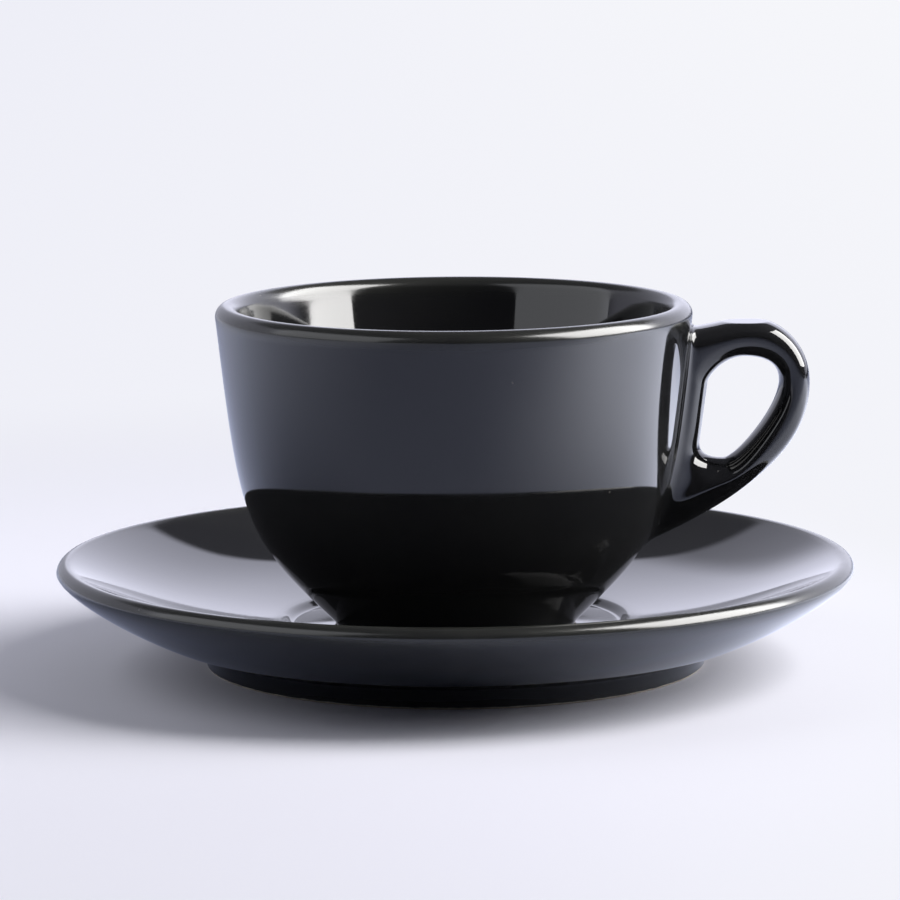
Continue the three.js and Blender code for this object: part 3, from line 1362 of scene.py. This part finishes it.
@dataclass
class Studio:
    """A pale floor, a room with a lit backdrop, and soft lamps at both sides.

    The backdrop's top is in degrees above the table. Spans are parts of a direction's length, between
    which one tone of the room runs into the next.
    """

    floor_half: float = 6000.0
    floor_drop: float = 0.05
    paper: FloorPaper = FloorPaper()
    backdrop_colour: Colour = (0.83, 0.84, 1.0)
    backdrop_left: float = 0.85
    backdrop_right: float = 1.9
    backdrop_top: float = 32.5
    backdrop_edge: Span = (-0.01, 0.02)
    backdrop_side: Span = (-0.05, 0.25)
    backdrop_change: Span = (-0.12, -0.04)
    room: float = 0.06
    ceiling: float = 0.17
    ceiling_rise: Span = (0.15, 0.6)
    matt_share: float = 0.50
    lamps: tuple[SoftLamp, ...] = (
        SoftLamp("key_softbox", 1.5, 36.0, 0.85, (0.52, 0.73), 10.1, (1.0, 0.99, 0.98), Shine.MATT),
        SoftLamp("key_sheen", -8.0, 32.5, 2.2, (2.2, 1.95), 16.5, (1.0, 0.99, 0.98), Shine.GLOSS),
        SoftLamp("side_card", 168.0, 32.0, 0.40, (0.42, 0.30), 1.7, (0.96, 0.97, 1.0), Shine.MATT),
        SoftLamp("side_sheen", -158.0, 28.0, 2.2, (2.6, 1.9), 1.55, (0.93, 0.95, 1.0), Shine.GLOSS),
    )

    def build(self) -> None:
        """Makes the floor, the room and the lamps."""
        self._build_floor()
        self._build_room()
        for lamp in self.lamps:
            lamp.build()
        bpy.context.scene.view_settings.view_transform = "Standard"

    def _build_floor(self) -> None:
        """Lays the floor under the saucer's foot."""
        half, z = self.floor_half * MM, -self.floor_drop * MM
        corners = [(-half, -half, z), (half, -half, z), (half, half, z), (-half, half, z)]
        mesh = bpy.data.meshes.new("studio_floor")
        mesh.from_pydata(corners, [], [(0, 1, 2, 3)])
        mesh.materials.append(self.paper.material())
        floor = bpy.data.objects.new("studio_floor", mesh)
        bpy.context.scene.collection.objects.link(floor)

    def _build_room(self) -> None:
        """Lights the world: a pale backdrop behind the object, a dark room, a dim ceiling."""
        world = bpy.data.worlds.new("studio_room")
        world.use_nodes = True
        world.node_tree.nodes.clear()
        board = NodeBoard(world.node_tree)
        direction = board.node("ShaderNodeTexCoord", output="Generated")
        rightward = board.node("ShaderNodeSeparateXYZ", None, {0: direction})
        behind, upward = rightward.other("Y"), rightward.other("Z")
        top = math.sin(math.radians(self.backdrop_top))
        paper = behind.between(*self.backdrop_side) * (1 - (upward - top).between(*self.backdrop_edge))
        seen = board.node("ShaderNodeLightPath", output="Is Camera Ray")
        right_share = rightward.between(*self.backdrop_change)
        light = self.backdrop_left + (self.backdrop_right - self.backdrop_left) * right_share
        dim = self.room + (self.ceiling - self.room) * upward.between(*self.ceiling_rise)
        strength = dim + paper * (light - dim)
        strength = strength * (1 - (1 - self.matt_share) * seen.other("Is Diffuse Ray"))
        strength = strength + seen * (1 - strength)
        even = opaque(self.paper.shown_lit_side_colour)
        colour = board.mix(seen, opaque(self.backdrop_colour), even)
        glow = board.node("ShaderNodeBackground", None, {"Color": colour, "Strength": strength})
        board.node("ShaderNodeOutputWorld", None, {"Surface": glow})
        bpy.context.scene.world = world


@dataclass(frozen=True)
class PhotoCamera:
    """The photograph's camera: a long lens that looks a little down on the cup.

    Its place is in millimetres before it is swung round the object by the bearing. The bearing, pitch
    and roll are in degrees.
    """

    place: tuple[float, float, float] = (-0.86, -924.0, 179.84)
    bearing: float = 2.3
    pitch: float = 8.594
    roll: float = -0.358
    focal_pixels: float = 4973.3
    image_pixels: float = 900.0
    sensor: float = 36.0
    furthest: float = 50.0

    def build(self) -> bpy.types.Object:
        """Makes the camera and shoots the scene with it.

        Returns:
            The camera's object.
        """
        data = bpy.data.cameras.new("photo_camera")
        data.sensor_width = self.sensor
        data.sensor_fit = "HORIZONTAL"
        data.lens = self.focal_pixels / self.image_pixels * self.sensor
        data.clip_end = self.furthest
        made = bpy.data.objects.new("photo_camera", data)
        pitch, roll = math.radians(self.pitch), math.radians(self.roll)
        back = Vector((0, -math.cos(pitch), math.sin(pitch)))
        level, upright = Vector((1, 0, 0)), Vector((0, math.sin(pitch), math.cos(pitch)))
        right = level * math.cos(roll) + upright * math.sin(roll)
        above = upright * math.cos(roll) - level * math.sin(roll)
        turn = Matrix((right, above, back)).transposed().to_4x4()
        swing = Matrix.Rotation(math.radians(-self.bearing), 4, "Z")
        made.matrix_world = swing @ Matrix.Translation(Vector(self.place) * MM) @ turn
        bpy.context.scene.collection.objects.link(made)
        bpy.context.scene.camera = made
        return made


def main() -> None:
    """Builds the studio, the saucer and the cup, and notes the model's size."""
    logging.basicConfig(level=logging.INFO, format="%(name)s: %(message)s")
    PhotoCamera().build()
    Studio().build()
    wheel = PottersWheel(sides=256, weld=1e-6)
    saucer = Saucer()
    cup = Cup(seat=saucer.well_floor)
    saucer_glaze = Glaze("saucer_glaze", base_height=0.0).material()
    cup_glaze = Glaze("cup_glaze", base_height=cup.seat).material()
    pieces = saucer.build(wheel, saucer_glaze)
    pieces += cup.build(wheel, cup_glaze)
    pieces += Handle(cup).build(cup_glaze)
    for piece in pieces:
        log.info("%s: %d points, %d faces", piece.name, len(piece.data.vertices), len(piece.data.polygons))


if __name__ == "__main__":
    main()
